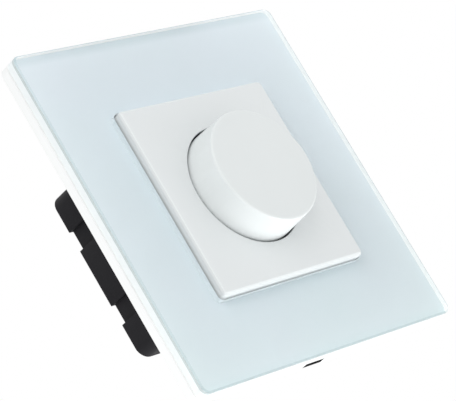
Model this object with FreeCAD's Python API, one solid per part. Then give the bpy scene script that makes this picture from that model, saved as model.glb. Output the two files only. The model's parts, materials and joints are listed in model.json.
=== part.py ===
"""Rotary LED dimmer switch for a flush-mounted wall box.

Millimetres. X is to the right seen from the room, Y goes into the wall, Z is up.
The origin is the panel's centre on the wall plane: the panel stands in front of it (negative Y)
and the housing goes into the wall box behind it (positive Y).
"""
import FreeCAD, Part
import math
import os

V = FreeCAD.Vector
BACK = V(0, 1, 0)

# Panel: glass on a plastic frame
panel_side = 86.0
panel_corner_r = 2.0
glass_t = 3.0
glass_chamfer = 0.4
glass_back_chamfer = 0.2
window_chamfer = 0.25
tape_t = 0.2
tape_margin = 0.2
frame_depth = 2.6
frame_skin = 1.4
frame_rim = 1.8
frame_rear_chamfer = 0.3
frame_rib_t = 1.2
frame_rib_recess = 0.3
frame_rib_places = (10.0, 26.0)
pry_slot_w = 6.4
pry_slot_t = 1.9
pry_slot_lip = 0.4
pry_slot_x = -3.5

# Centre plate
centre_side = 48.0
centre_corner_r = 1.2
centre_proud = 1.8
centre_skin = 1.8
centre_wall = 1.5
centre_edge_chamfer = 0.6
centre_back_gap = 0.3
window_gap = 0.25
well_wall = 1.4
well_depth = 2.0
well_rib_t = 1.2
well_rib_depth = 1.6

# Snap legs of the frame and of the centre plate
leg_t = 1.4
leg_w = 4.0
leg_nose = 0.7
leg_nose_len = 1.6
leg_catch_gap = 0.1
leg_slot_gap = 0.3
frame_leg_x = 8.0
frame_leg_gap = 0.35
centre_leg_z = 9.0

# Knob
knob_foot_r = 14.85
knob_top_r = 14.45
knob_height = 8.3
knob_edge_r = 0.5
knob_edge_steps = 2
knob_foot_chamfer = 0.3
knob_gap = 0.4
knob_skirt = 2.0
knob_skin = 2.0
knob_wall = 1.8
knob_boss_r = 5.2
knob_boss_end = 0.8
knob_rib_t = 1.2
knob_rib_count = 6
knob_rib_setback = 2.6

# Shaft, bush and their fits
shaft_r = 3.0
fit_gap = 0.05
shaft_in_boss = 7.3
shaft_flat = 1.5
shaft_flat_clear = 0.4
shaft_tip_chamfer = 0.5
drive_flat = 1.8
shaft_flange_r = 4.2
shaft_flange_t = 1.1
knob_spring_t = 0.35
knob_spring_w = 3.0
knob_spring_len = 6.0
bush_r = 3.95
bush_front = 4.0
bush_flange_r = 5.2
bush_flange_t = 0.6
nut_flats = 11.0
nut_t = 2.0
washer_r = 6.6
washer_t = 0.5
bush_hole_gap = 0.15

# Support plate
plate_inset = 8.0
plate_corner_r = 5.0
plate_t = 1.0
box_slot_inset = 5.0
box_slot_r = 2.1
box_slot_len = 7.0
screw_pocket_wall = 1.25
screw_pocket_edge = 0.5
screw_pocket_h = 12.0
screw_pocket_r = 0.5

# Rear housing
housing_side = 43.0
housing_corner_r = 3.0
housing_depth = 27.0
housing_wall = 1.5
housing_rear_wall = 1.8
housing_rear_chamfer = 0.5
groove_w = 5.0
groove_depth = 1.3
cover_t = 1.6
cover_gap = 0.15
post_board_gap = 0.3

# Case screws
case_screw_r = 1.25
case_screw_hole_gap = 0.25
case_screw_reach = 9.0
case_screw_head_r = 2.6
case_screw_head_t = 1.3
case_screw_bore_spare = 2.0
cross_len = 2.8
cross_w = 0.6
cross_depth = 0.7

# Rotary control with its push switch
control_side = 17.0
control_depth = 8.7
control_front_wall = 1.2
control_cover_t = 1.2
chamber_r = 7.0
chamber_depth = 2.9
guide_side = 9.9
guide_gap = 0.1
track_t = 0.4
track_in_r = 3.6
track_edge_gap = 0.1
rotor_r = 6.5
rotor_t = 1.9
rotor_back_gap = 0.2
wiper_t = 0.3
wiper_in_r = 4.6
wiper_out_r = 6.2
wiper_angle_deg = 120.0
push_travel = 1.0
plunger_t = 1.2
plunger_stem_r = 1.5
plunger_stem_spare = 0.1
spring_wire_w = 0.4
spring_r = 2.8
spring_turns = 3
spring_steps = 12
spring_end_gap = 0.02
pin_w = 0.64
pin_hole_gap = 0.1
pin_spacing = 1.4
pin_count = 5
pin_drop = 6.5
pin_out = 1.2

# Circuit board and what is on it: the sizes that don't follow from the room in the housing
board_t = 1.6
board_side_gap = 0.4
transistor_lift = 1.3
transistor_lead_w = 0.8
transistor_lead_t = 0.5
spreader_wall_gap = 0.1
choke_wire_t = 0.8
choke_wire_gap = 0.08
choke_board_gap = 0.3
choke_turns = 12
varistor_lift = 0.4
chip_t = 1.5
chip_lead_out = 1.0
chip_lead_w = 0.45
chip_lead_t = 0.5
chip_lead_pitch = 1.27
chip_lead_count = 4

# Terminals
terminal_count = 3
terminal_wall_gap = 0.2
wire_hole_r = 1.7
clamp_gap = 0.1
terminal_head_t = 1.2
terminal_head_gap = 0.2
terminal_slot_w = 0.6
terminal_slot_depth = 0.6
terminal_tip_gap = 0.1
driver_hole_r = 2.3

# Stations along Y, from the room into the wall
tape_front = -frame_depth - tape_t
glass_front = tape_front - glass_t
centre_front = glass_front - centre_proud
knob_front = centre_front - knob_height
knob_foot = centre_front + knob_skirt
plate_front = -plate_t
frame_hollow = -frame_depth + frame_skin
control_front = cover_t
chamber_front = control_front + control_front_wall
chamber_back = chamber_front + chamber_depth
control_back = control_front + control_depth
board_front = control_back + control_cover_t
board_back = board_front + board_t
rear_wall_front = housing_depth - housing_rear_wall
bush_end = plate_front - bush_front
shaft_front = knob_front + knob_skin + shaft_flat_clear
rotor_front = chamber_back - rotor_back_gap - rotor_t
flange_front = chamber_back
shaft_back = flange_front + shaft_flange_t
boss_end = bush_end - knob_boss_end - push_travel

# Panel, plate and housing sizes that follow from the ones above
plate_side = panel_side - 2 * plate_inset
box_hole_spacing = plate_side - 2 * box_slot_inset
window_side = centre_side + 2 * window_gap
window_corner_r = centre_corner_r + window_gap
well_r = knob_foot_r + knob_gap
pocket_in = window_side / 2 + screw_pocket_wall
pocket_out = plate_side / 2 - screw_pocket_edge
inner_side = housing_side - 2 * housing_wall
groove_z = 0.2475 * inner_side
groove_span = groove_w + 2 * housing_wall
post_side = 0.1225 * inner_side
post_shoulder_side = 0.155 * inner_side
case_screw_place = 0.4375 * inner_side
board_w = housing_side - 2 * (housing_wall + groove_depth + board_side_gap)
board_h = housing_side - 2 * (housing_wall + board_side_gap)
inner_floor_z = -inner_side / 2

# Parts on the board: their share of the housing's inner width, and of its depth behind the board
board_room = rear_wall_front - board_back
transistor_w = 0.2 * inner_side
transistor_t = 0.065 * inner_side
transistor_x = 0.175 * inner_side
transistor_lead_pitch = 0.0575 * inner_side
transistor_h = 0.79 * board_room
spreader_w = 0.67 * inner_side
spreader_t = 0.04 * inner_side
spreader_h = 0.89 * board_room
choke_x = -0.24 * inner_side
choke_z = 0.15 * inner_side
choke_out_r = 0.157 * inner_side
choke_in_r = 0.075 * inner_side
choke_core_h = 0.54 * board_room
film_x = 0.21 * inner_side
film_z = 0.225 * inner_side
film_w = 0.35 * inner_side
film_t = 0.16 * inner_side
film_h = 0.86 * board_room
electro_x = 0.21 * inner_side
electro_z = -0.08 * inner_side
electro_r = 0.125 * inner_side
electro_h = 0.92 * board_room
varistor_x = -0.38 * inner_side
varistor_z = -0.155 * inner_side
varistor_t = 0.08 * inner_side
varistor_r = 0.36 * board_room
fuse_x = -0.215 * inner_side
fuse_z = -0.155 * inner_side
fuse_r = 0.075 * inner_side
fuse_h = 0.63 * board_room
chip_x = 0.34 * inner_side
chip_w = 0.1 * inner_side
chip_h = 0.125 * inner_side
terminal_block_w = 0.625 * inner_side
terminal_block_h = 0.2125 * inner_side
terminal_pitch = 0.32 * terminal_block_w
wire_z = inner_floor_z + terminal_wall_gap + 0.6 * terminal_block_h
wire_hole_end = 0.87 * board_room
clamp_w = 0.2 * terminal_block_w
clamp_h = 0.66 * terminal_block_h
clamp_roof = 0.153 * terminal_block_h
clamp_len = 0.96 * clamp_w
clamp_window_w = 0.72 * clamp_w
clamp_back = rear_wall_front - 0.25 * board_room
clamp_mid_y = clamp_back - clamp_len / 2
terminal_screw_r = 0.26 * clamp_len
terminal_head_r = 0.42 * clamp_len
case_screw_places = [(-case_screw_place, case_screw_place), (case_screw_place, -case_screw_place)]
corner_signs = [(sx, sz) for sx in (-1, 1) for sz in (-1, 1)]
terminal_places = [(i - (terminal_count - 1) / 2) * terminal_pitch for i in range(terminal_count)]


def along_y(edge):
    """True for a straight edge that runs along Y."""
    box = edge.BoundBox
    return box.YLength > 1e-6 and box.XLength < 1e-6 and box.ZLength < 1e-6


def block(width, height, y0, y1, radius=0.0, x=0.0, z=0.0):
    """Box centred on x and z from y0 to y1, its four long edges rounded."""
    body = Part.makeBox(width, y1 - y0, height, V(x - width / 2, y0, z - height / 2))
    if radius > 0:
        body = body.makeFillet(radius, [e for e in body.Edges if along_y(e)])
    return body


def rod(radius, y0, y1, x=0.0, z=0.0):
    """Round bar along Y."""
    return Part.makeCylinder(radius, y1 - y0, V(x, y0, z), BACK)


def tube(outer_r, inner_r, y0, y1, x=0.0, z=0.0):
    """Round sleeve along Y."""
    return rod(outer_r, y0, y1, x, z).cut(rod(inner_r, y0, y1, x, z))


def edges_at(shape, y):
    """Edges that lie wholly in the plane at depth y."""
    return [e for e in shape.Edges if abs(e.BoundBox.YMin - y) < 1e-4 and abs(e.BoundBox.YMax - y) < 1e-4]


def turned(shape, degrees, x=0.0, z=0.0):
    """Copy turned about a line along Y."""
    copy = shape.copy()
    copy.rotate(V(x, 0, z), BACK, degrees)
    return copy


def fuse_all(parts):
    """One solid from overlapping or touching parts."""
    return parts[0].multiFuse(parts[1:]).removeSplitter()


def compound(parts):
    """Separate solids kept in one node."""
    return Part.makeCompound(parts)


def d_bar(radius, flat, y0, y1):
    """Round bar with one flat on its upper side, at the height flat above the axis."""
    bar = rod(radius, y0, y1)
    return bar.cut(Part.makeBox(2 * radius, y1 - y0, radius, V(-radius, y0, flat)))


def snap_leg(root_y, inner, sign):
    """Leg along Y that stands on +X, its nose turned outwards, with a sloped lead-in."""
    catch = leg_catch_gap
    tip = catch + leg_nose_len
    outline = [
        V(inner, root_y, 0), V(inner + leg_t, root_y, 0), V(inner + leg_t, catch, 0),
        V(inner + leg_t + leg_nose, catch, 0), V(inner + leg_t, tip, 0), V(inner, tip, 0),
        V(inner, root_y, 0),
    ]
    face = Part.Face(Part.makePolygon(outline))
    leg = face.extrude(V(0, 0, leg_w))
    leg.translate(V(0, 0, -leg_w / 2))
    return leg if sign > 0 else turned(leg, 180)


def frame_legs():
    """Four legs above and below the window that hook behind the support plate."""
    inner = window_side / 2 + frame_leg_gap
    legs = []
    for turn in (90, -90):
        for x in (-frame_leg_x, frame_leg_x):
            leg = turned(snap_leg(frame_hollow - frame_skin / 2, inner, 1), turn)
            leg.translate(V(x, 0, 0))
            legs.append(leg)
    return legs


def centre_legs():
    """Four legs left and right of the centre plate that hook behind the support plate."""
    inner = centre_side / 2 - centre_wall
    root = plate_front - centre_back_gap - centre_wall
    legs = []
    for sign in (-1, 1):
        for z in (-centre_leg_z, centre_leg_z):
            leg = snap_leg(root, inner, sign)
            leg.translate(V(0, 0, z))
            legs.append(leg)
    return legs


def glass_panel():
    """Glass square with a window, both edges ground to a small chamfer."""
    body = block(panel_side, panel_side, glass_front, tape_front, panel_corner_r)
    body = body.makeChamfer(glass_chamfer, edges_at(body, glass_front))
    body = body.makeChamfer(glass_back_chamfer, edges_at(body, tape_front))
    body = body.cut(block(window_side, window_side, glass_front, tape_front, window_corner_r))
    rim = [e for e in edges_at(body, glass_front) if max(abs(e.BoundBox.XMax), abs(e.BoundBox.ZMax),
           abs(e.BoundBox.XMin), abs(e.BoundBox.ZMin)) < window_side / 2 + window_gap]
    return body.makeChamfer(window_chamfer, rim)


def panel_tape():
    """Tape ring between the glass and the frame."""
    outer = panel_side - 2 * tape_margin
    inner = window_side + 2 * tape_margin
    body = block(outer, outer, tape_front, -frame_depth, panel_corner_r - tape_margin)
    return body.cut(block(inner, inner, tape_front, -frame_depth, window_corner_r + tape_margin))


def frame_ribs():
    """Short ribs in the channel between the frame's rim and the support plate."""
    outer = panel_side / 2 - frame_rim
    inner = plate_side / 2 + leg_slot_gap
    ribs = []
    for turn in range(0, 360, 90):
        for place in frame_rib_places:
            for side in (-place, place):
                rib = block(outer - inner, frame_rib_t, frame_hollow, -frame_rib_recess,
                            0, (outer + inner) / 2, side)
                ribs.append(turned(rib, turn))
    return ribs


def panel_frame():
    """Shallow plastic tray behind the glass with a window, snap legs and a pry slot in its lower rim."""
    body = block(panel_side, panel_side, -frame_depth, 0, panel_corner_r)
    body = body.makeChamfer(frame_rear_chamfer, edges_at(body, 0))
    inner = panel_side - 2 * frame_rim
    body = body.cut(block(inner, inner, frame_hollow, 0, panel_corner_r - frame_rim / 2))
    body = body.cut(block(window_side, window_side, -frame_depth, 0, window_corner_r))
    for sign in (-1, 1):
        body = body.cut(block(pocket_out - pocket_in, screw_pocket_h, -frame_depth, 0, screw_pocket_r,
                              sign * (pocket_in + pocket_out) / 2))
    slot = block(pry_slot_w, frame_rim, -pry_slot_lip - pry_slot_t, -pry_slot_lip, 0, pry_slot_x,
                 (frame_rim - panel_side) / 2)
    return fuse_all([body.cut(slot)] + frame_ribs() + frame_legs())


def centre_plate():
    """Square cap with the knob's well, stiffening ribs and snap legs."""
    back = plate_front - centre_back_gap
    inner = centre_side - 2 * centre_wall
    skin_back = centre_front + centre_skin
    body = block(centre_side, centre_side, centre_front, back, centre_corner_r)
    body = body.makeChamfer(centre_edge_chamfer, edges_at(body, centre_front))
    body = body.cut(block(inner, inner, skin_back, back, centre_corner_r - centre_wall / 2))
    collar = rod(well_r + well_wall, skin_back, skin_back + well_depth)
    rib_len = inner / 2 - well_r - well_wall / 2
    rib = block(rib_len, well_rib_t, skin_back, skin_back + well_rib_depth, 0,
                inner / 2 - rib_len / 2)
    ribs = [turned(rib, turn) for turn in range(0, 360, 90)]
    body = fuse_all([body, collar] + ribs + centre_legs())
    return body.cut(rod(well_r, centre_front, skin_back + well_depth))


def knob_edge_points():
    """Points round the knob's front edge, from the face to the side."""
    points = []
    for i in range(knob_edge_steps + 1):
        angle = math.pi / 2 * i / knob_edge_steps
        points.append(V(knob_top_r - knob_edge_r * (1 - math.sin(angle)),
                        knob_front + knob_edge_r * (1 - math.cos(angle)), 0))
    return points


def knob():
    """Hollow tapered knob with a boss for the shaft and ribs inside its face."""
    inner_top = knob_front + knob_skin
    inner_r = knob_top_r - knob_wall
    outline = [V(0, knob_front, 0)] + knob_edge_points() + [
        V(knob_foot_r, knob_foot - knob_foot_chamfer, 0), V(knob_foot_r - knob_foot_chamfer, knob_foot, 0),
        V(inner_r, knob_foot, 0), V(inner_r, inner_top, 0), V(0, inner_top, 0),
        V(0, knob_front, 0),
    ]
    body = Part.Face(Part.makePolygon(outline)).revolve(V(0, 0, 0), BACK, 360)
    boss = rod(knob_boss_r, inner_top, boss_end)
    reach = inner_r + knob_wall / 2
    rib = block(reach, knob_rib_t, inner_top, boss_end - knob_rib_setback, 0, reach / 2)
    ribs = [turned(rib, 360 / knob_rib_count * (i + 0.5)) for i in range(knob_rib_count)]
    body = fuse_all([body, boss] + ribs)
    bore = d_bar(shaft_r + fit_gap, shaft_flat + knob_spring_t + fit_gap, shaft_front - fit_gap, boss_end)
    return body.cut(bore)


def knob_spring():
    """Leaf spring on the shaft's flat."""
    start = shaft_front + shaft_tip_chamfer
    leaf = Part.makeBox(knob_spring_w, knob_spring_len, knob_spring_t,
                        V(-knob_spring_w / 2, start, shaft_flat))
    return leaf


def shaft():
    """Control shaft: a flat for the knob, a flat for the rotor and a flange that keeps it in."""
    flat_end = shaft_front + shaft_in_boss
    tip = d_bar(shaft_r, shaft_flat, shaft_front, flat_end)
    round_edge = [e for e in edges_at(tip, shaft_front) if e.Length > 2 * shaft_r]
    tip = tip.makeChamfer(shaft_tip_chamfer, round_edge)
    drive_start = rotor_front - push_travel - fit_gap
    middle = rod(shaft_r, flat_end, drive_start)
    drive = d_bar(shaft_r, drive_flat, drive_start, flange_front)
    flange = rod(shaft_flange_r, flange_front, shaft_back)
    return fuse_all([tip, middle, drive, flange])


def bush():
    """Sleeve that guides the shaft, with a flange inside the control."""
    body = rod(bush_r, bush_end, chamber_front)
    flange = rod(bush_flange_r, chamber_front - bush_flange_t, chamber_front)
    return fuse_all([body, flange]).cut(rod(shaft_r + fit_gap, bush_end, chamber_front))


def hexagon(flats, y0, y1):
    """Hexagonal prism along Y."""
    corner_r = flats / math.sqrt(3)
    points = [V(corner_r * math.cos(math.radians(60 * i)), y0, corner_r * math.sin(math.radians(60 * i)))
              for i in range(7)]
    return Part.Face(Part.makePolygon(points)).extrude(V(0, y1 - y0, 0))


def bush_nut():
    """Hexagon nut on the bush."""
    back = plate_front - washer_t
    return hexagon(nut_flats, back - nut_t, back).cut(rod(bush_r + fit_gap, back - nut_t, back))


def bush_washer():
    """Flat washer under the nut."""
    return tube(washer_r, bush_r + bush_hole_gap, plate_front - washer_t, plate_front)


def long_hole(length, radius, y0, y1, x):
    """Hole along Y with round ends, long in X."""
    ends = [rod(radius, y0, y1, x + side * (length / 2 - radius)) for side in (-1, 1)]
    return fuse_all(ends + [block(length - 2 * radius, 2 * radius, y0, y1, 0, x)])


def leg_slot(x, z, along_x):
    """Cut in the support plate for one snap leg, with room for its nose to pass."""
    length = leg_w + 2 * leg_slot_gap
    width = leg_t + leg_nose + 2 * leg_slot_gap
    size = (length, width) if along_x else (width, length)
    return block(size[0], size[1], plate_front, 0, 0, x, z)


def support_plate():
    """Steel plate with wall-box slots, leg slots and holes for the bush and case screws."""
    body = block(plate_side, plate_side, plate_front, 0, plate_corner_r)
    cuts = [rod(bush_r + bush_hole_gap, plate_front, 0)]
    for x, z in case_screw_places:
        cuts.append(rod(case_screw_r + case_screw_hole_gap, plate_front, 0, x, z))
    for sign in (-1, 1):
        slot = long_hole(box_slot_len, box_slot_r, plate_front, 0, sign * box_hole_spacing / 2)
        cuts += [slot, turned(slot, 90)]
        frame_leg_z = window_side / 2 + frame_leg_gap + (leg_t + leg_nose) / 2
        centre_leg_x = centre_side / 2 - centre_wall + (leg_t + leg_nose) / 2
        for side in (-1, 1):
            cuts.append(leg_slot(side * frame_leg_x, sign * frame_leg_z, True))
            cuts.append(leg_slot(sign * centre_leg_x, side * centre_leg_z, False))
    return body.cut(cuts[0].multiFuse(cuts[1:]))


def cavity(y0, y1, gap):
    """Inside of the housing from y0 to y1, drawn in by gap, narrower where the grooves run."""
    side = housing_side - 2 * (housing_wall + gap)
    body = block(side, side, y0, y1, housing_corner_r - housing_wall + gap)
    reach = groove_depth + housing_wall + gap
    for sx, sz in corner_signs:
        x = sx * (housing_side / 2 - reach / 2)
        body = body.cut(block(reach, groove_span + 2 * gap, y0, y1, 0, x, sz * groove_z))
    return body


def corner_blocks(side, y0, y1):
    """Square blocks that fill the four inner corners of the housing, each that long along X and Z."""
    centre = housing_side / 2 - housing_wall - side / 2
    return [block(side, side, y0, y1, 0, sx * centre, sz * centre) for sx, sz in corner_signs]


def housing():
    """Black rear box with two grooves down each side, corner posts and terminal openings."""
    body = block(housing_side, housing_side, 0, housing_depth, housing_corner_r)
    for sx, sz in corner_signs:
        x = sx * (housing_side / 2 - groove_depth / 2)
        body = body.cut(block(groove_depth, groove_w, 0, housing_depth, 0, x, sz * groove_z))
    body = body.makeChamfer(housing_rear_chamfer, edges_at(body, housing_depth))
    inside = cavity(0, rear_wall_front, 0)
    for post in corner_blocks(post_side, cover_t, rear_wall_front):
        inside = inside.cut(post)
    for shoulder in corner_blocks(post_shoulder_side, board_back, rear_wall_front):
        inside = inside.cut(shoulder)
    body = body.cut(inside)
    bores = []
    for x, z in case_screw_places:
        bores.append(rod(case_screw_r + fit_gap, cover_t, cover_t + case_screw_reach + case_screw_bore_spare,
                         x, z))
    for x in terminal_places:
        bores.append(rod(wire_hole_r, rear_wall_front, housing_depth, x, wire_z))
        bores.append(Part.makeCylinder(driver_hole_r, housing_wall,
                                       V(x, clamp_mid_y, -housing_side / 2), V(0, 0, 1)))
    return body.cut(bores[0].multiFuse(bores[1:]))


def housing_cover():
    """Cover inside the housing's front, clamped between the plate and the corner posts."""
    body = cavity(0, cover_t, cover_gap)
    cuts = [rod(bush_r + bush_hole_gap, 0, cover_t)]
    for x, z in case_screw_places:
        cuts.append(rod(case_screw_r + case_screw_hole_gap, 0, cover_t, x, z))
    return body.cut(cuts[0].multiFuse(cuts[1:]))


def case_screws():
    """Two screws with a cross recess, in opposite corners."""
    head_front = plate_front - case_screw_head_t
    head = rod(case_screw_head_r, head_front, plate_front)
    screw = head.fuse(rod(case_screw_r, plate_front, cover_t + case_screw_reach)).removeSplitter()
    for size in ((cross_len, cross_w), (cross_w, cross_len)):
        screw = screw.cut(block(size[0], size[1], head_front, head_front + cross_depth))
    placed = []
    for x, z in case_screw_places:
        copy = screw.copy()
        copy.translate(V(x, 0, z))
        placed.append(copy)
    return compound(placed)


def control_body():
    """Case of the control: a round chamber for the rotor and a square guide for the plunger."""
    body = block(control_side, control_side, control_front, control_back)
    cuts = [
        rod(bush_r + fit_gap, control_front, chamber_front),
        rod(bush_flange_r + fit_gap, chamber_front - bush_flange_t, chamber_front),
        rod(chamber_r, chamber_front, chamber_back),
        block(guide_side, guide_side, chamber_back, control_back),
    ]
    return body.cut(cuts[0].multiFuse(cuts[1:]))


def control_cover():
    """Cover over the back of the control."""
    return block(control_side, control_side, control_back, board_front)


def track_disc():
    """Resistance track on the front wall of the chamber."""
    return tube(chamber_r - track_edge_gap, track_in_r, chamber_front, chamber_front + track_t)


def rotor():
    """Disc that turns with the shaft, which slides through its D-shaped hole."""
    body = rod(rotor_r, rotor_front, rotor_front + rotor_t)
    return body.cut(d_bar(shaft_r + fit_gap, drive_flat + fit_gap, rotor_front, rotor_front + rotor_t))


def wiper():
    """Contact plate on the front of the rotor: part of a ring."""
    front = rotor_front - wiper_t
    full = Part.makeCylinder(wiper_out_r, wiper_t, V(0, front, 0), BACK, wiper_angle_deg)
    return full.cut(rod(wiper_in_r, front, rotor_front))


def push_plunger():
    """Square plunger that slides in the control without turning, with a stem for the spring."""
    side = guide_side - 2 * guide_gap
    plate = block(side, side, shaft_back, shaft_back + plunger_t)
    stem_len = control_back - shaft_back - plunger_t - push_travel - plunger_stem_spare
    stem = rod(plunger_stem_r, shaft_back + plunger_t, shaft_back + plunger_t + stem_len)
    return fuse_all([plate, stem])


def push_spring():
    """Coil spring between the plunger and the control's cover, wound in short straight runs."""
    half = spring_wire_w / 2
    first = shaft_back + plunger_t + spring_end_gap + half
    length = control_back - spring_end_gap - half - first
    count = spring_turns * spring_steps
    sections = []
    for i in range(count + 1):
        y = first + length * i / count
        corners = [V(spring_r + dx * half, y + dy * half, 0)
                   for dx, dy in ((-1, -1), (1, -1), (1, 1), (-1, 1), (-1, -1))]
        sections.append(turned(Part.makePolygon(corners), 360 * i / spring_steps))
    return Part.makeLoft(sections, True, True)


def pin_row(side, y0, y1):
    """Square bars at the places of the control's pins."""
    first = -(pin_count - 1) / 2 * pin_spacing
    return [block(side, side, y0, y1, 0, first + i * pin_spacing, -pin_drop) for i in range(pin_count)]


def control_pins():
    """Row of square pins from the control through the circuit board."""
    return compound(pin_row(pin_w, board_front, board_back + pin_out))


def circuit_board():
    """Board that rests on the shoulders of the corner posts, notched around the posts."""
    body = block(board_w, board_h, board_front, board_back)
    cuts = corner_blocks(post_side + post_board_gap, board_front, board_back)
    cuts += pin_row(pin_w + 2 * pin_hole_gap, board_front, board_back)
    return body.cut(cuts[0].multiFuse(cuts[1:]))


def spreader_low_z():
    """Lower face of the heat spreader."""
    return housing_side / 2 - housing_wall - spreader_wall_gap - spreader_t


def heat_spreader():
    """Aluminium plate along the housing's upper wall."""
    return block(spreader_w, spreader_t, board_back, board_back + spreader_h, 0, 0,
                 spreader_low_z() + spreader_t / 2)


def power_transistors():
    """Two transistors flat against the spreader, each on three leads."""
    mid_z = spreader_low_z() - transistor_t / 2
    foot = board_back + transistor_lift
    placed = []
    for x in (-transistor_x, transistor_x):
        parts = [block(transistor_w, transistor_t, foot, foot + transistor_h, 0, x, mid_z)]
        for i in (-1, 0, 1):
            parts.append(block(transistor_lead_w, transistor_lead_t, board_back, foot, 0,
                               x + i * transistor_lead_pitch, mid_z))
        placed.append(fuse_all(parts))
    return compound(placed)


def choke_front():
    """Front face of the choke's core."""
    return board_back + choke_board_gap + choke_wire_t + choke_wire_gap


def choke_core():
    """Ring core, its axis along Y."""
    front = choke_front()
    return tube(choke_out_r, choke_in_r, front, front + choke_core_h, choke_x, choke_z)


def choke_winding():
    """Turns of wire round the ring core."""
    front = choke_front()
    gap = choke_wire_gap
    inner_w = choke_out_r - choke_in_r + 2 * gap
    mid_r = (choke_out_r + choke_in_r) / 2
    y0 = front - gap
    y1 = front + choke_core_h + gap
    wire = choke_wire_t
    loop = block(inner_w + 2 * wire, wire, y0 - wire, y1 + wire, 0, choke_x + mid_r, choke_z)
    loop = loop.cut(block(inner_w, wire, y0, y1, 0, choke_x + mid_r, choke_z))
    return compound([turned(loop, 360 / choke_turns * i, choke_x, choke_z) for i in range(choke_turns)])


def film_capacitor():
    """Box-shaped film capacitor."""
    return block(film_w, film_t, board_back, board_back + film_h, 0, film_x, film_z)


def electrolytic_capacitor():
    """Round can."""
    return rod(electro_r, board_back, board_back + electro_h, electro_x, electro_z)


def varistor():
    """Coated disc that stands on the board."""
    centre_y = board_back + varistor_lift + varistor_r
    disc = Part.makeCylinder(varistor_r, varistor_t, V(varistor_x - varistor_t / 2, centre_y, varistor_z),
                             V(1, 0, 0))
    foot = block(varistor_t / 2, varistor_r, board_back, centre_y, 0, varistor_x, varistor_z)
    return fuse_all([disc, foot])


def fuse():
    """Round fuse case."""
    return rod(fuse_r, board_back, board_back + fuse_h, fuse_x, fuse_z)


def controller_chip():
    """Chip on the front of the board with a row of leads on each side."""
    parts = [block(chip_w, chip_h, board_front - chip_t, board_front, 0, chip_x)]
    for side in (-1, 1):
        for i in range(chip_lead_count):
            z = (i - (chip_lead_count - 1) / 2) * chip_lead_pitch
            x = chip_x + side * (chip_w + chip_lead_out) / 2
            parts.append(block(chip_lead_out, chip_lead_w, board_front - chip_lead_t, board_front, 0, x, z))
    return fuse_all(parts)


def terminal_block():
    """Block with a wire hole and a clamp chamber per terminal, open towards the housing's floor."""
    low = inner_floor_z + terminal_wall_gap
    mid_z = low + terminal_block_h / 2
    body = block(terminal_block_w, terminal_block_h, board_back, rear_wall_front, 0, 0, mid_z)
    cuts = []
    chamber_top = wire_z + wire_hole_r + clamp_roof + clamp_gap
    for x in terminal_places:
        cuts.append(rod(wire_hole_r, rear_wall_front - wire_hole_end, rear_wall_front, x, wire_z))
        cuts.append(block(clamp_w + 2 * clamp_gap, chamber_top - low, clamp_back - clamp_len - clamp_gap,
                          clamp_back + clamp_gap, 0, x, (chamber_top + low) / 2))
    return body.cut(cuts[0].multiFuse(cuts[1:]))


def clamp_low_z():
    """Lower face of a terminal clamp."""
    return wire_z + wire_hole_r + clamp_roof - clamp_h


def terminal_clamps():
    """Brass cages that hold the wires, each with a square window and a screw hole from below."""
    low = clamp_low_z()
    placed = []
    for x in terminal_places:
        cage = block(clamp_w, clamp_h, clamp_back - clamp_len, clamp_back, 0, x, low + clamp_h / 2)
        window = block(clamp_window_w, 2 * wire_hole_r, clamp_back - clamp_len, clamp_back, 0, x, wire_z)
        floor_t = wire_z - wire_hole_r - low
        hole = Part.makeCylinder(terminal_screw_r + fit_gap, floor_t, V(x, clamp_mid_y, low), V(0, 0, 1))
        placed.append(cage.cut(window).cut(hole))
    return compound(placed)


def terminal_screws():
    """Slotted screws that press the wires, their heads towards the housing's floor."""
    tip = wire_z - wire_hole_r - terminal_tip_gap
    head_top = clamp_low_z() - terminal_head_gap
    head_low = head_top - terminal_head_t
    up = V(0, 0, 1)
    placed = []
    for x in terminal_places:
        head = Part.makeCylinder(terminal_head_r, terminal_head_t, V(x, clamp_mid_y, head_low), up)
        shank = Part.makeCylinder(terminal_screw_r, tip - head_top, V(x, clamp_mid_y, head_top), up)
        slot = Part.makeBox(2 * terminal_head_r, terminal_slot_w, terminal_slot_depth,
                            V(x - terminal_head_r, clamp_mid_y - terminal_slot_w / 2, head_low))
        placed.append(head.fuse(shank).cut(slot))
    return compound(placed)


NODES = (
    glass_panel, panel_tape, panel_frame, centre_plate, knob, knob_spring, shaft, bush, bush_nut,
    bush_washer, support_plate, case_screws, housing, housing_cover, control_body, control_cover,
    track_disc, rotor, wiper, push_plunger, push_spring, control_pins, circuit_board, heat_spreader,
    power_transistors, choke_core, choke_winding, film_capacitor, electrolytic_capacitor, varistor, fuse,
    controller_chip, terminal_block, terminal_clamps, terminal_screws,
)

os.makedirs("parts", exist_ok=True)
for make in NODES:
    shape = make()
    name = make.__name__
    shape.exportStep("parts/" + name + ".step")
    print(name, "solids", len(shape.Solids), "volume", round(shape.Volume, 1), "valid", shape.isValid())
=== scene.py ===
"""Dresses the rotary dimmer: materials, the glass panel's back print, light and camera."""
import json
import math

import bmesh
import bpy
from mathutils import Matrix, Vector


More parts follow.
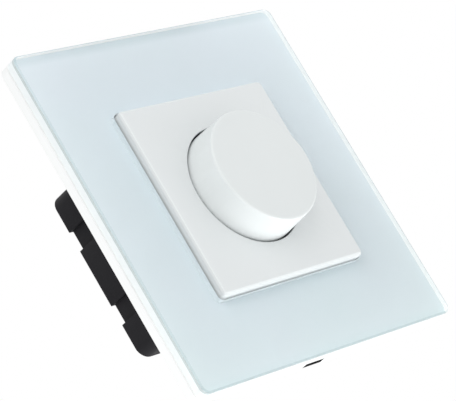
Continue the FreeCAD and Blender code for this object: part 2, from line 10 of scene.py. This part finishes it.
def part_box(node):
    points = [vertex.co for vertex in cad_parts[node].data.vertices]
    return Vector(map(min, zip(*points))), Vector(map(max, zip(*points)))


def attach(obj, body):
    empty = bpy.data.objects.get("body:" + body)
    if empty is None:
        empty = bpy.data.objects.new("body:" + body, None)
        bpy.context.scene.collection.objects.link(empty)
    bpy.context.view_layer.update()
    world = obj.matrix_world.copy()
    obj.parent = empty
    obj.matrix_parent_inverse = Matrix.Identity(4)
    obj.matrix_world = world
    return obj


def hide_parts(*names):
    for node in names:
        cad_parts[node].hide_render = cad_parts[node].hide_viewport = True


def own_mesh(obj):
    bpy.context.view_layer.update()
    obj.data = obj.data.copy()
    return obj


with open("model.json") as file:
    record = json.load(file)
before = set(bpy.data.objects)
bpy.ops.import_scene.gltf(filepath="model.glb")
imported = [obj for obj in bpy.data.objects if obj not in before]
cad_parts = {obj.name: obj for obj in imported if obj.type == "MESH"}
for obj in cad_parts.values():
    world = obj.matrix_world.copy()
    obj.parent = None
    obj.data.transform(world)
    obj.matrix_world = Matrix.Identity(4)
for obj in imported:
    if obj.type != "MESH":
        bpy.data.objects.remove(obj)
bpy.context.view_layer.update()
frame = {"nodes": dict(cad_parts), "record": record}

MM = 0.001

# Image frame and camera, fitted to the panel's corners in the photograph
IMAGE_W = 456
FOCAL_PX = 2728
SENSOR_MM = 36.0
CAMERA_PLACE = Vector((-450.6, -393.4, -150.8)) * MM
CAMERA_RIGHT = Vector((0.6591, -0.5679, -0.4931))
CAMERA_UP = Vector((0.1755, -0.5215, 0.8350))
CLIP_START = 0.01
CLIP_END = 50.0

# Glass panel: its corners and bevels, the depth of the painted shade along the front of its ground
# sides, and how far off a side face is told from a bevel
GLASS_CORNER_R = 2.0 * MM
GLASS_BEVEL = 0.4 * MM
GLASS_REAR_BEVEL = 0.2 * MM
RIM_DEPTH = 1.0 * MM
SIDE_MARGIN = 0.03 * MM
WINDOW_HALF = 24.25 * MM
WINDOW_BEVEL = 0.25 * MM
WINDOW_CORNER_R = 1.45 * MM

# Back print of the glass: how far it stays in from the panel's edge, its thickness,
# how far it sinks into the glass, and how many steps round off a corner
PRINT_INSET = 0.2 * MM
PRINT_T = 0.03 * MM
PRINT_SINK = 0.02 * MM
CORNER_STEPS = 8

# Glass: its clear body, the ground sides with the share of light they let glow through,
# the painted shade on its front bevel and front rim, and the paint of the window edge
CLEAR_GLASS = (0.985, 0.995, 0.997)
CLEAR_SHADOW = (0.96, 0.975, 0.98)
GLASS_IOR = 1.5
POLISH_ROUGH = 0.012
GROUND_ROUGH = 0.5
GROUND_GLASS = (0.97, 0.99, 0.985)
GROUND_GLOW = 0.4
BEVEL_PAINTED_SHADE = (0.70, 0.76, 0.76)
RIM_PAINTED_SHADE = (0.64, 0.69, 0.69)
WINDOW_PAINT = (0.82, 0.87, 0.89)

# Plastics of the outside
PLASTIC_IOR = 1.46
WHITE = (0.758, 0.782, 0.786)
KNOB_WHITE = (0.756, 0.784, 0.782)
FRAME_WHITE = (0.86, 0.865, 0.86)
BLACK = (0.0065, 0.0062, 0.0082)

# Smooth white moulding: roughness, drift of tone, grain in features per metre, depth of grain
SMOOTH_WHITE = {"rough": 0.38, "tone": 0.008, "grain": 2200.0, "depth": 1.5e-6}

# Centre plate: painted shade on its sides where they go down into the seam, and on its two flanks
SEAM_SHADE = 0.74
SEAM_RUN = 0.5 * MM
SEAM_REACH = 0.5 * MM
FLANK_SHADE = 0.89
FLANK_WIDTH = 0.95 * MM

# Back print: the two tones it drifts between, and the factors of painted shade on them at shares of
# its height
PRINT_TONES = ((0.797, 0.872, 0.910), (0.815, 0.878, 0.926))
PRINT_HEIGHT_SHADE = {
    0.0: (0.90, 0.935, 0.915),
    0.014: (0.91, 0.94, 0.92),
    0.032: (0.945, 0.96, 0.943),
    0.97: (1.035, 1.03, 1.028),
    0.987: (0.935, 0.955, 0.95),
    1.0: (0.925, 0.95, 0.945),
}
HEIGHT_SHADE_PEAK = 1.035

# Inside of the pry slot in the frame's lower rim, and the near black of painted shade there
SLOT_LOW = Vector((-6.71, -2.31, -42.97)) * MM
SLOT_HIGH = Vector((-0.29, -0.39, -41.25)) * MM
SLOT_PAINTED_SHADE = (0.012, 0.012, 0.013)

# Mouldings whose sharp edges are rounded, and by how much
SOFT_EDGES = {
    "centre_plate": 0.12 * MM, "panel_frame": 0.12 * MM, "housing": 0.2 * MM, "knob": 0.12 * MM,
}
EDGE_SEGMENTS = 3
EDGE_ANGLE = math.radians(15.0)
WELD_GAP = 1e-6
FLAT_ANGLE = math.radians(0.5)

# Range that a noise mostly stays in, and the part of it over which two tones blend
NOISE_RANGE = (0.3, 0.7)
BLEND_RANGE = (0.35, 0.65)

# Detail and roughness of a fine noise, and the scales of the noises in features per metre
FINE = (4.0, 0.6)
MOULD_DRIFT = 45.0
MOULD_PATCHES = 180.0
METAL_DRIFT = 120.0
METAL_STREAKS = 900.0
POLISH_PATCHES = 60.0
PRINT_DRIFT = 30.0
PRINT_PATCHES = 400.0
PRINT_GRAIN = 3000.0
FLOOR_DRIFT = 3.0

# How far the roughness of a moulding and of a metal wanders, and that of the print
MOULD_ROUGH_STEP = 0.05
METAL_ROUGH_STEP = 0.08
PRINT_ROUGH = (0.45, 0.6)

# Depth of the relief of metal and print
METAL_RELIEF = 3e-6
PRINT_RELIEF = 1e-6

# Stage: floor, world light, and each lamp's direction, distance, size and watts
FLOOR_DROP = 1.5
FLOOR_HALF = 6.0
FLOOR_TONES = ((0.90, 0.90, 0.90), (0.92, 0.92, 0.92))
FLOOR_ROUGH = 0.9
WORLD_TONE = (0.985, 0.995, 1.0)
WORLD_LIGHT = 0.85
LAMPS = {
    "left_lamp": ((-0.60, 0.32, -0.73), 0.40, 0.3, 0.47),
    "key": ((-0.58, -0.67, 0.46), 2.0, 1.8, 12.0),
    "low_lamp": ((0.26, 0.06, -0.965), 1.2, 0.4, 8.0),
}

nodes = frame["nodes"]
body_of = {
    node: body
    for body, held in frame["record"]["behaviour"]["bodies"].items()
    for node in held
}
slot_of = {entry["node"]: entry["material_slot"] for entry in frame["record"]["subparts"]}


def material(name):
    """An empty node material: (material, node tree, Principled shader)."""
    mat = bpy.data.materials.new(name)
    mat.use_nodes = True
    tree = mat.node_tree
    shader = tree.nodes["Principled BSDF"]
    return mat, tree, shader


def add(tree, kind, **inputs):
    """A node of that kind with some of its inputs set by name."""
    node = tree.nodes.new(kind)
    for key, value in inputs.items():
        node.inputs[key.replace("_", " ")].default_value = value
    return node


def noise(tree, scale, detail=3.0, roughness=0.5, stretch=(1, 1, 1)):
    """Noise over the object's own coordinates, scale in features per metre."""
    coords = tree.nodes.new("ShaderNodeTexCoord")
    mapping = add(tree, "ShaderNodeMapping", Scale=stretch)
    tex = add(tree, "ShaderNodeTexNoise", Scale=scale, Detail=detail, Roughness=roughness)
    tree.links.new(coords.outputs["Object"], mapping.inputs["Vector"])
    tree.links.new(mapping.outputs["Vector"], tex.inputs["Vector"])
    return tex.outputs["Fac"]


def spread(tree, fac, low, high):
    """Maps the usual range of a noise to low..high."""
    first, last = NOISE_RANGE
    node = add(tree, "ShaderNodeMapRange", From_Min=first, From_Max=last, To_Min=low, To_Max=high)
    tree.links.new(fac, node.inputs["Value"])
    return node.outputs["Result"]


def two_tone(tree, fac, first, second):
    """Colour that wanders between two tones with the noise."""
    ramp = tree.nodes.new("ShaderNodeValToRGB")
    for element, at, colour in zip(ramp.color_ramp.elements, BLEND_RANGE, (first, second)):
        element.position = at
        element.color = (*colour, 1)
    tree.links.new(fac, ramp.inputs["Fac"])
    return ramp.outputs["Color"]


def bump(tree, shader, fac, depth):
    """Relief of that depth in metres."""
    node = add(tree, "ShaderNodeBump", Strength=1.0, Distance=depth)
    tree.links.new(fac, node.inputs["Height"])
    tree.links.new(node.outputs["Normal"], shader.inputs["Normal"])


def math_node(tree, operation, first, second):
    """Result of one operation on two numbers, each a socket or a value."""
    node = tree.nodes.new("ShaderNodeMath")
    node.operation = operation
    for i, value in enumerate((first, second)):
        if isinstance(value, (int, float)):
            node.inputs[i].default_value = value
        else:
            tree.links.new(value, node.inputs[i])
    return node.outputs[0]


def vector_node(tree, operation, first, second=None):
    """Result of one operation on vectors: the first a socket, the second a socket or a value."""
    node = tree.nodes.new("ShaderNodeVectorMath")
    node.operation = operation
    tree.links.new(first, node.inputs[0])
    if isinstance(second, bpy.types.NodeSocket):
        tree.links.new(second, node.inputs[1])
    elif second is not None:
        node.inputs[1].default_value = second
    return node.outputs["Value" if operation == "LENGTH" else "Vector"]


def square_reach(tree, half, corner_r):
    """How far out in X and Z a point lies: corner_r at the sides of a rounded square."""
    coords = tree.nodes.new("ShaderNodeTexCoord")
    place = vector_node(tree, "ABSOLUTE", coords.outputs["Object"])
    past = vector_node(tree, "SUBTRACT", place, (half - corner_r, 1.0, half - corner_r))
    past = vector_node(tree, "MAXIMUM", past, (0, 0, 0))
    return vector_node(tree, "LENGTH", past)


def along(tree, axis):
    """The object's own X, Y or Z: axis 0, 1 or 2."""
    coords = tree.nodes.new("ShaderNodeTexCoord")
    parts = tree.nodes.new("ShaderNodeSeparateXYZ")
    tree.links.new(coords.outputs["Object"], parts.inputs[0])
    return parts.outputs[axis]


def box_mask(tree, low, high):
    """1 inside a box, 0 outside it."""
    coords = tree.nodes.new("ShaderNodeTexCoord")
    place = vector_node(tree, "SUBTRACT", coords.outputs["Object"], (low + high) / 2)
    place = vector_node(tree, "ABSOLUTE", place)
    half = (high - low) / 2
    place = vector_node(tree, "DIVIDE", place, half)
    parts = tree.nodes.new("ShaderNodeSeparateXYZ")
    tree.links.new(place, parts.inputs[0])
    widest = math_node(tree, "MAXIMUM", parts.outputs[0], parts.outputs[1])
    widest = math_node(tree, "MAXIMUM", widest, parts.outputs[2])
    return math_node(tree, "LESS_THAN", widest, 1.0)


def mix_into(tree, socket, mask, value):
    """Replaces what feeds a colour socket by value where the mask is 1."""
    mix = tree.nodes.new("ShaderNodeMix")
    mix.data_type = "RGBA"
    if socket.links:
        tree.links.new(socket.links[0].from_socket, mix.inputs["A"])
    else:
        mix.inputs["A"].default_value = socket.default_value
    mix.inputs["B"].default_value = (*value, 1)
    tree.links.new(mask, mix.inputs["Factor"])
    tree.links.new(mix.outputs["Result"], socket)


def tones(colour, tone):
    """The two tones that lie that share below and above a colour."""
    return scaled(colour, 1 - tone), tuple(min(1.0, c) for c in scaled(colour, 1 + tone))


def scaled(colour, factor):
    """A colour times a factor."""
    return tuple(c * factor for c in colour)


def moulded(name, colour, rough, tone, grain=2500.0, depth=4e-6, gloss=0.5):
    """Moulded plastic: a faint drift of tone, a fine grain and patches of gloss."""
    mat, tree, shader = material(name)
    drift = two_tone(tree, noise(tree, MOULD_DRIFT), *tones(colour, tone))
    tree.links.new(drift, shader.inputs["Base Color"])
    patches = spread(tree, noise(tree, MOULD_PATCHES),
                     rough - MOULD_ROUGH_STEP, rough + MOULD_ROUGH_STEP)
    tree.links.new(patches, shader.inputs["Roughness"])
    bump(tree, shader, noise(tree, grain, *FINE), depth)
    shader.inputs["IOR"].default_value = PLASTIC_IOR
    shader.inputs["Specular IOR Level"].default_value = gloss
    return mat


def frame_white():
    """The panel frame's white plastic, with painted shade, near black, on the deep inside of the
    pry slot.
    """
    mat = moulded("frame_white", FRAME_WHITE, **SMOOTH_WHITE)
    tree = mat.node_tree
    # Painted shade: the inside of the pry slot is painted near black
    mask = box_mask(tree, SLOT_LOW, SLOT_HIGH)
    mix_into(tree, tree.nodes["Principled BSDF"].inputs["Base Color"], mask, SLOT_PAINTED_SHADE)
    return mat


def plate_white():
    """The centre plate's white plastic, with painted shade on its flanks, and more on its sides
    near the glass.
    """
    mat = moulded("plate_white", WHITE, **SMOOTH_WHITE)
    tree = mat.node_tree
    glass_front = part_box("glass_panel")[0].y
    plate_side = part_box("centre_plate")[1].x
    # Painted shade on the plate's sides, darker towards the glass
    shade = add(tree, "ShaderNodeMapRange", From_Min=glass_front - SEAM_RUN, From_Max=glass_front)
    tree.links.new(along(tree, 1), shade.inputs["Value"])
    reach = square_reach(tree, WINDOW_HALF, WINDOW_CORNER_R)
    side = math_node(tree, "GREATER_THAN", reach, WINDOW_CORNER_R - SEAM_REACH)
    mask = math_node(tree, "MULTIPLY", shade.outputs["Result"], side)
    colour = tree.nodes["Principled BSDF"].inputs["Base Color"]
    wide = math_node(tree, "ABSOLUTE", along(tree, 0), 0.0)
    flank = math_node(tree, "GREATER_THAN", wide, plate_side - FLANK_WIDTH)
    # Painted shade: the two flanks darker, then the sides darker still near the glass
    mix_into(tree, colour, flank, scaled(WHITE, FLANK_SHADE))
    mix_into(tree, colour, mask, scaled(WHITE, SEAM_SHADE))
    return mat


def metal(name, colour, rough, tone=0.06, stretch=(1, 1, 1)):
    """Metal with fine drawn or ground streaks."""
    mat, tree, shader = material(name)
    shader.inputs["Metallic"].default_value = 1.0
    streaks = noise(tree, METAL_STREAKS, *FINE, stretch)
    drift = two_tone(tree, noise(tree, METAL_DRIFT), *tones(colour, tone))
    tree.links.new(drift, shader.inputs["Base Color"])
    dull = spread(tree, streaks, rough - METAL_ROUGH_STEP, rough + METAL_ROUGH_STEP)
    tree.links.new(dull, shader.inputs["Roughness"])
    bump(tree, shader, streaks, METAL_RELIEF)
    return mat


def clear_glass():
    """Float glass with ground sides and a painted window edge, its front bevel and front rim
    darkened by painted shade. It casts next to no shadow.
    """
    mat, tree, shader = material("clear_glass")
    low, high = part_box("glass_panel")

    def both(first, second):
        return math_node(tree, "MULTIPLY", first, second)

    reach = square_reach(tree, high.x, GLASS_CORNER_R)
    window_reach = square_reach(tree, WINDOW_HALF, WINDOW_CORNER_R)
    depth = along(tree, 1)
    edge = math_node(tree, "GREATER_THAN", reach, GLASS_CORNER_R - GLASS_BEVEL)
    side = math_node(tree, "GREATER_THAN", reach, GLASS_CORNER_R - SIDE_MARGIN)
    back = math_node(tree, "GREATER_THAN", depth, high.y - GLASS_REAR_BEVEL - SIDE_MARGIN)
    front = math_node(tree, "LESS_THAN", depth, low.y + GLASS_BEVEL)
    near = math_node(tree, "LESS_THAN", depth, low.y + RIM_DEPTH)
    painted = math_node(tree, "LESS_THAN", window_reach,
                        WINDOW_CORNER_R + WINDOW_BEVEL - SIDE_MARGIN)
    ground = math_node(tree, "MAXIMUM", side, both(edge, back))
    rim = both(ground, near)
    dull = math_node(tree, "MAXIMUM", ground, painted)

    colour = shader.inputs["Base Color"]
    colour.default_value = (*CLEAR_GLASS, 1)
    # Painted shade darkens the front bevel and the front rim; the ground sides are white, the
    # window edge takes the print's paint
    for mask, tone_or_shade in ((both(edge, front), BEVEL_PAINTED_SHADE), (ground, GROUND_GLASS),
                       (rim, RIM_PAINTED_SHADE), (painted, WINDOW_PAINT)):
        mix_into(tree, colour, mask, tone_or_shade)
    tree.links.new(math_node(tree, "SUBTRACT", 1.0, dull), shader.inputs["Transmission Weight"])
    shader.inputs["IOR"].default_value = GLASS_IOR
    polish = spread(tree, noise(tree, POLISH_PATCHES), 0.0, POLISH_ROUGH)
    rough = math_node(tree, "MAXIMUM", polish, both(dull, GROUND_ROUGH))
    tree.links.new(rough, shader.inputs["Roughness"])

    glow = add(tree, "ShaderNodeBsdfTranslucent", Color=(*GROUND_GLASS, 1))
    # The rim's painted shade also darkens the light its ground sides let through
    mix_into(tree, glow.inputs["Color"], rim, RIM_PAINTED_SHADE)
    frosted = tree.nodes.new("ShaderNodeMixShader")
    tree.links.new(both(ground, GROUND_GLOW), frosted.inputs["Fac"])
    tree.links.new(shader.outputs["BSDF"], frosted.inputs[1])
    tree.links.new(glow.outputs["BSDF"], frosted.inputs[2])

    clear = add(tree, "ShaderNodeBsdfTransparent", Color=(*CLEAR_SHADOW, 1))
    path = tree.nodes.new("ShaderNodeLightPath")
    mix = tree.nodes.new("ShaderNodeMixShader")
    tree.links.new(path.outputs["Is Shadow Ray"], mix.inputs["Fac"])
    tree.links.new(frosted.outputs["Shader"], mix.inputs[1])
    tree.links.new(clear.outputs["BSDF"], mix.inputs[2])
    tree.links.new(mix.outputs["Shader"], tree.nodes["Material Output"].inputs["Surface"])
    return mat


def print_paint():
    """Pale blue-grey enamel on the back of the glass, with painted shade by height: lighter towards
    the top, darker in thin bands at its top and bottom edges.
    """
    mat, tree, shader = material("print_paint")
    tone = two_tone(tree, noise(tree, PRINT_DRIFT), *PRINT_TONES)
    low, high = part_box("glass_panel")
    # Painted shade by height: lighter towards the top, darker in thin bands at the top and bottom
    # edges
    height = add(tree, "ShaderNodeMapRange", From_Min=low.z, From_Max=high.z)
    tree.links.new(along(tree, 2), height.inputs["Value"])
    height_shade = tree.nodes.new("ShaderNodeValToRGB")
    for at in list(PRINT_HEIGHT_SHADE)[1:-1]:
        height_shade.color_ramp.elements.new(at)
    for element, (at, colour) in zip(height_shade.color_ramp.elements, PRINT_HEIGHT_SHADE.items()):
        element.position = at
        element.color = (*(c / HEIGHT_SHADE_PEAK for c in colour), 1)
    tree.links.new(height.outputs["Result"], height_shade.inputs["Fac"])
    tone = vector_node(tree, "MULTIPLY", tone, (HEIGHT_SHADE_PEAK,) * 3)
    shaded = vector_node(tree, "MULTIPLY", tone, height_shade.outputs["Color"])
    tree.links.new(shaded, shader.inputs["Base Color"])
    patches = spread(tree, noise(tree, PRINT_PATCHES), *PRINT_ROUGH)
    tree.links.new(patches, shader.inputs["Roughness"])
    bump(tree, shader, noise(tree, PRINT_GRAIN), PRINT_RELIEF)
    return mat


def finishes():
    """A material for each slot of the record."""
    return {
        "clear_glass": clear_glass(),
        "white_plastic": moulded("white_plastic", WHITE, **SMOOTH_WHITE),
        "knob_plastic": moulded("knob_plastic", KNOB_WHITE, rough=0.42, tone=0.008,
                                grain=2600.0, depth=2e-6),
        "black_plastic": moulded("black_plastic", BLACK, rough=0.62, tone=0.06,
                                 grain=3200.0, depth=2.5e-5, gloss=0.2),
        "zinc_steel": metal("zinc_steel", (0.60, 0.61, 0.62), rough=0.42, tone=0.025,
                            stretch=(1, 1, 9)),
        "brass": metal("brass", (0.66, 0.50, 0.24), rough=0.38),
        "aluminium": metal("aluminium", (0.72, 0.73, 0.74), rough=0.4, stretch=(1, 12, 1)),
        "board_green": moulded("board_green", (0.02, 0.14, 0.06), rough=0.35, tone=0.15,
                               grain=1500.0, depth=5e-6),
        "ferrite": moulded("ferrite", (0.05, 0.05, 0.052), rough=0.7, tone=0.2,
                           grain=1800.0, depth=2e-5),
        "copper_wire": metal("copper_wire", (0.62, 0.27, 0.12), rough=0.37),
        "component_black": moulded("component_black", (0.02, 0.02, 0.022), rough=0.5,
                                   tone=0.15, depth=1e-5),
        "film_yellow": moulded("film_yellow", (0.60, 0.42, 0.05), rough=0.35, tone=0.05),
        "coated_blue": moulded("coated_blue", (0.03, 0.09, 0.30), rough=0.2, tone=0.1,
                               grain=600.0, depth=3e-5),
        "tape_white": moulded("tape_white", (0.84, 0.84, 0.82), rough=0.75, tone=0.05,
                              grain=1200.0, depth=3e-5),
        "grey_plastic": moulded("grey_plastic", (0.25, 0.25, 0.26), rough=0.45, tone=0.06,
                                grain=2200.0, depth=6e-6),
    }


def wear(obj, mat):
    """Gives the whole object one material, in the slots it has."""
    if not obj.material_slots:
        obj.data.materials.append(mat)
    for slot in obj.material_slots:
        slot.material = mat


def stand_in(node, name, mat):
    """A piece with a copy of a node's mesh, which stands for the node on the same body."""
    piece = bpy.data.objects.new(name, nodes[node].data.copy())
    bpy.context.scene.collection.objects.link(piece)
    piece.matrix_world = nodes[node].matrix_world
    wear(piece, mat)
    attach(piece, body_of[node])
    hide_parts(node)
    return piece


def soften(obj, width):
    """Joins a piece's flat triangles, rounds its sharp edges and shades the rest smoothly."""
    weld = obj.modifiers.new("weld", "WELD")
    weld.merge_threshold = WELD_GAP
    flats = obj.modifiers.new("flats", "DECIMATE")
    flats.decimate_type = "DISSOLVE"
    flats.angle_limit = FLAT_ANGLE
    obj.data.polygons.foreach_set("use_smooth", [True] * len(obj.data.polygons))
    bevel = obj.modifiers.new("bevel", "BEVEL")
    bevel.limit_method = "ANGLE"
    bevel.angle_limit = EDGE_ANGLE
    bevel.width = width
    bevel.segments = EDGE_SEGMENTS
    bevel.harden_normals = True


def rounded_square(half, radius):
    """Corner points of a square with rounded corners, in X and Z, anticlockwise."""
    points = []
    for corner in range(4):
        base = math.pi / 2 * corner
        cx = (half - radius) * (1 if corner in (0, 3) else -1)
        cz = (half - radius) * (1 if corner in (0, 1) else -1)
        for i in range(CORNER_STEPS + 1):
            a = base + math.pi / 2 * i / CORNER_STEPS
            points.append((cx + radius * math.cos(a), cz + radius * math.sin(a)))
    return points


def back_print(paint):
    """Thin painted frame on the glass's back, drawn in from its outer edge."""
    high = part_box("glass_panel")[1]
    front = high.y - PRINT_SINK
    rim = rounded_square(high.x - PRINT_INSET, GLASS_CORNER_R - PRINT_INSET)
    window = rounded_square(WINDOW_HALF + PRINT_SINK, WINDOW_CORNER_R)
    mesh = bpy.data.meshes.new("back_print")
    work = bmesh.new()
    loops = []
    for y in (front, front + PRINT_T):
        loops.append([[work.verts.new((x, y, z)) for x, z in edge] for edge in (rim, window)])
    count = len(loops[0][0])
    for i in range(count):
        j = (i + 1) % count
        for ring in (0, 1):
            outer, inner = loops[ring]
            work.faces.new((outer[i], outer[j], inner[j], inner[i]))
        for side in (0, 1):
            a, b = loops[0][side], loops[1][side]
            work.faces.new((a[i], a[j], b[j], b[i]))
    bmesh.ops.recalc_face_normals(work, faces=work.faces)
    work.to_mesh(mesh)
    work.free()
    obj = bpy.data.objects.new("back_print", mesh)
    bpy.context.scene.collection.objects.link(obj)
    wear(obj, paint)
    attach(obj, "root")


def return_spring(mat):
    """The push switch's return spring, which in the switch shortens to its rear seat as the knob
    goes in; here a piece with a mesh of its own.
    """
    spring = stand_in("push_spring", "return_spring", mat)
    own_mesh(spring)


def look_camera():
    """Camera at the photograph's angle."""
    data = bpy.data.cameras.new("camera")
    data.sensor_width = SENSOR_MM
    data.sensor_fit = "HORIZONTAL"
    data.lens = FOCAL_PX / IMAGE_W * SENSOR_MM
    data.clip_start = CLIP_START
    data.clip_end = CLIP_END
    camera = bpy.data.objects.new("camera", data)
    right = CAMERA_RIGHT.normalized()
    up = (CAMERA_UP - right * CAMERA_UP.dot(right)).normalized()
    back = right.cross(up)
    turn = Matrix((right, up, back)).transposed().to_4x4()
    camera.matrix_world = Matrix.Translation(CAMERA_PLACE) @ turn
    bpy.context.scene.collection.objects.link(camera)
    bpy.context.scene.camera = camera


def area_lamp(name, towards, distance, size, watts):
    """Soft square white lamp in that direction from the object, aimed at it."""
    data = bpy.data.lights.new(name, "AREA")
    data.shape = "SQUARE"
    data.size = size
    data.energy = watts
    lamp = bpy.data.objects.new(name, data)
    direction = Vector(towards).normalized()
    lamp.location = direction * distance
    lamp.rotation_euler = direction.to_track_quat("Z", "Y").to_euler()
    bpy.context.scene.collection.objects.link(lamp)


def white_world():
    """Even light, and plain white to the camera, in mirrors and through glass."""
    world = bpy.data.worlds.new("world")
    world.use_nodes = True
    tree = world.node_tree
    tree.nodes.clear()
    path = tree.nodes.new("ShaderNodeLightPath").outputs
    seen = add(tree, "ShaderNodeBackground", Color=(1, 1, 1, 1), Strength=1.0)
    light = add(tree, "ShaderNodeBackground", Color=(*WORLD_TONE, 1), Strength=WORLD_LIGHT)
    direct = math_node(tree, "MAXIMUM", path["Is Camera Ray"], path["Is Glossy Ray"])
    white = math_node(tree, "MAXIMUM", direct, path["Is Transmission Ray"])
    mix = tree.nodes.new("ShaderNodeMixShader")
    tree.links.new(white, mix.inputs["Fac"])
    tree.links.new(light.outputs[0], mix.inputs[1])
    tree.links.new(seen.outputs[0], mix.inputs[2])
    out = tree.nodes.new("ShaderNodeOutputWorld")
    tree.links.new(mix.outputs[0], out.inputs["Surface"])
    bpy.context.scene.world = world


def pale_floor():
    """Plain pale floor well below the object, which hangs by its wall mount."""
    mesh = bpy.data.meshes.new("floor")
    h, z = FLOOR_HALF, -FLOOR_DROP
    mesh.from_pydata([(-h, -h, z), (h, -h, z), (h, h, z), (-h, h, z)], [], [(0, 1, 2, 3)])
    floor = bpy.data.objects.new("floor", mesh)
    bpy.context.scene.collection.objects.link(floor)
    mat, tree, shader = material("floor_white")
    drift = two_tone(tree, noise(tree, FLOOR_DRIFT), *FLOOR_TONES)
    tree.links.new(drift, shader.inputs["Base Color"])
    shader.inputs["Roughness"].default_value = FLOOR_ROUGH
    wear(floor, mat)


look_camera()
skins = finishes()
for name, slot in slot_of.items():
    wear(nodes[name], skins[slot])
shaded_skins = {"centre_plate": plate_white(), "panel_frame": frame_white()}
for name, width in SOFT_EDGES.items():
    skin = shaded_skins.get(name, skins[slot_of[name]])
    soften(stand_in(name, "moulded_" + name, skin), width)
back_print(print_paint())
return_spring(skins["zinc_steel"])
white_world()
pale_floor()
for name, setting in LAMPS.items():
    area_lamp(name, *setting)

bpy.context.scene.view_settings.view_transform = "Standard"
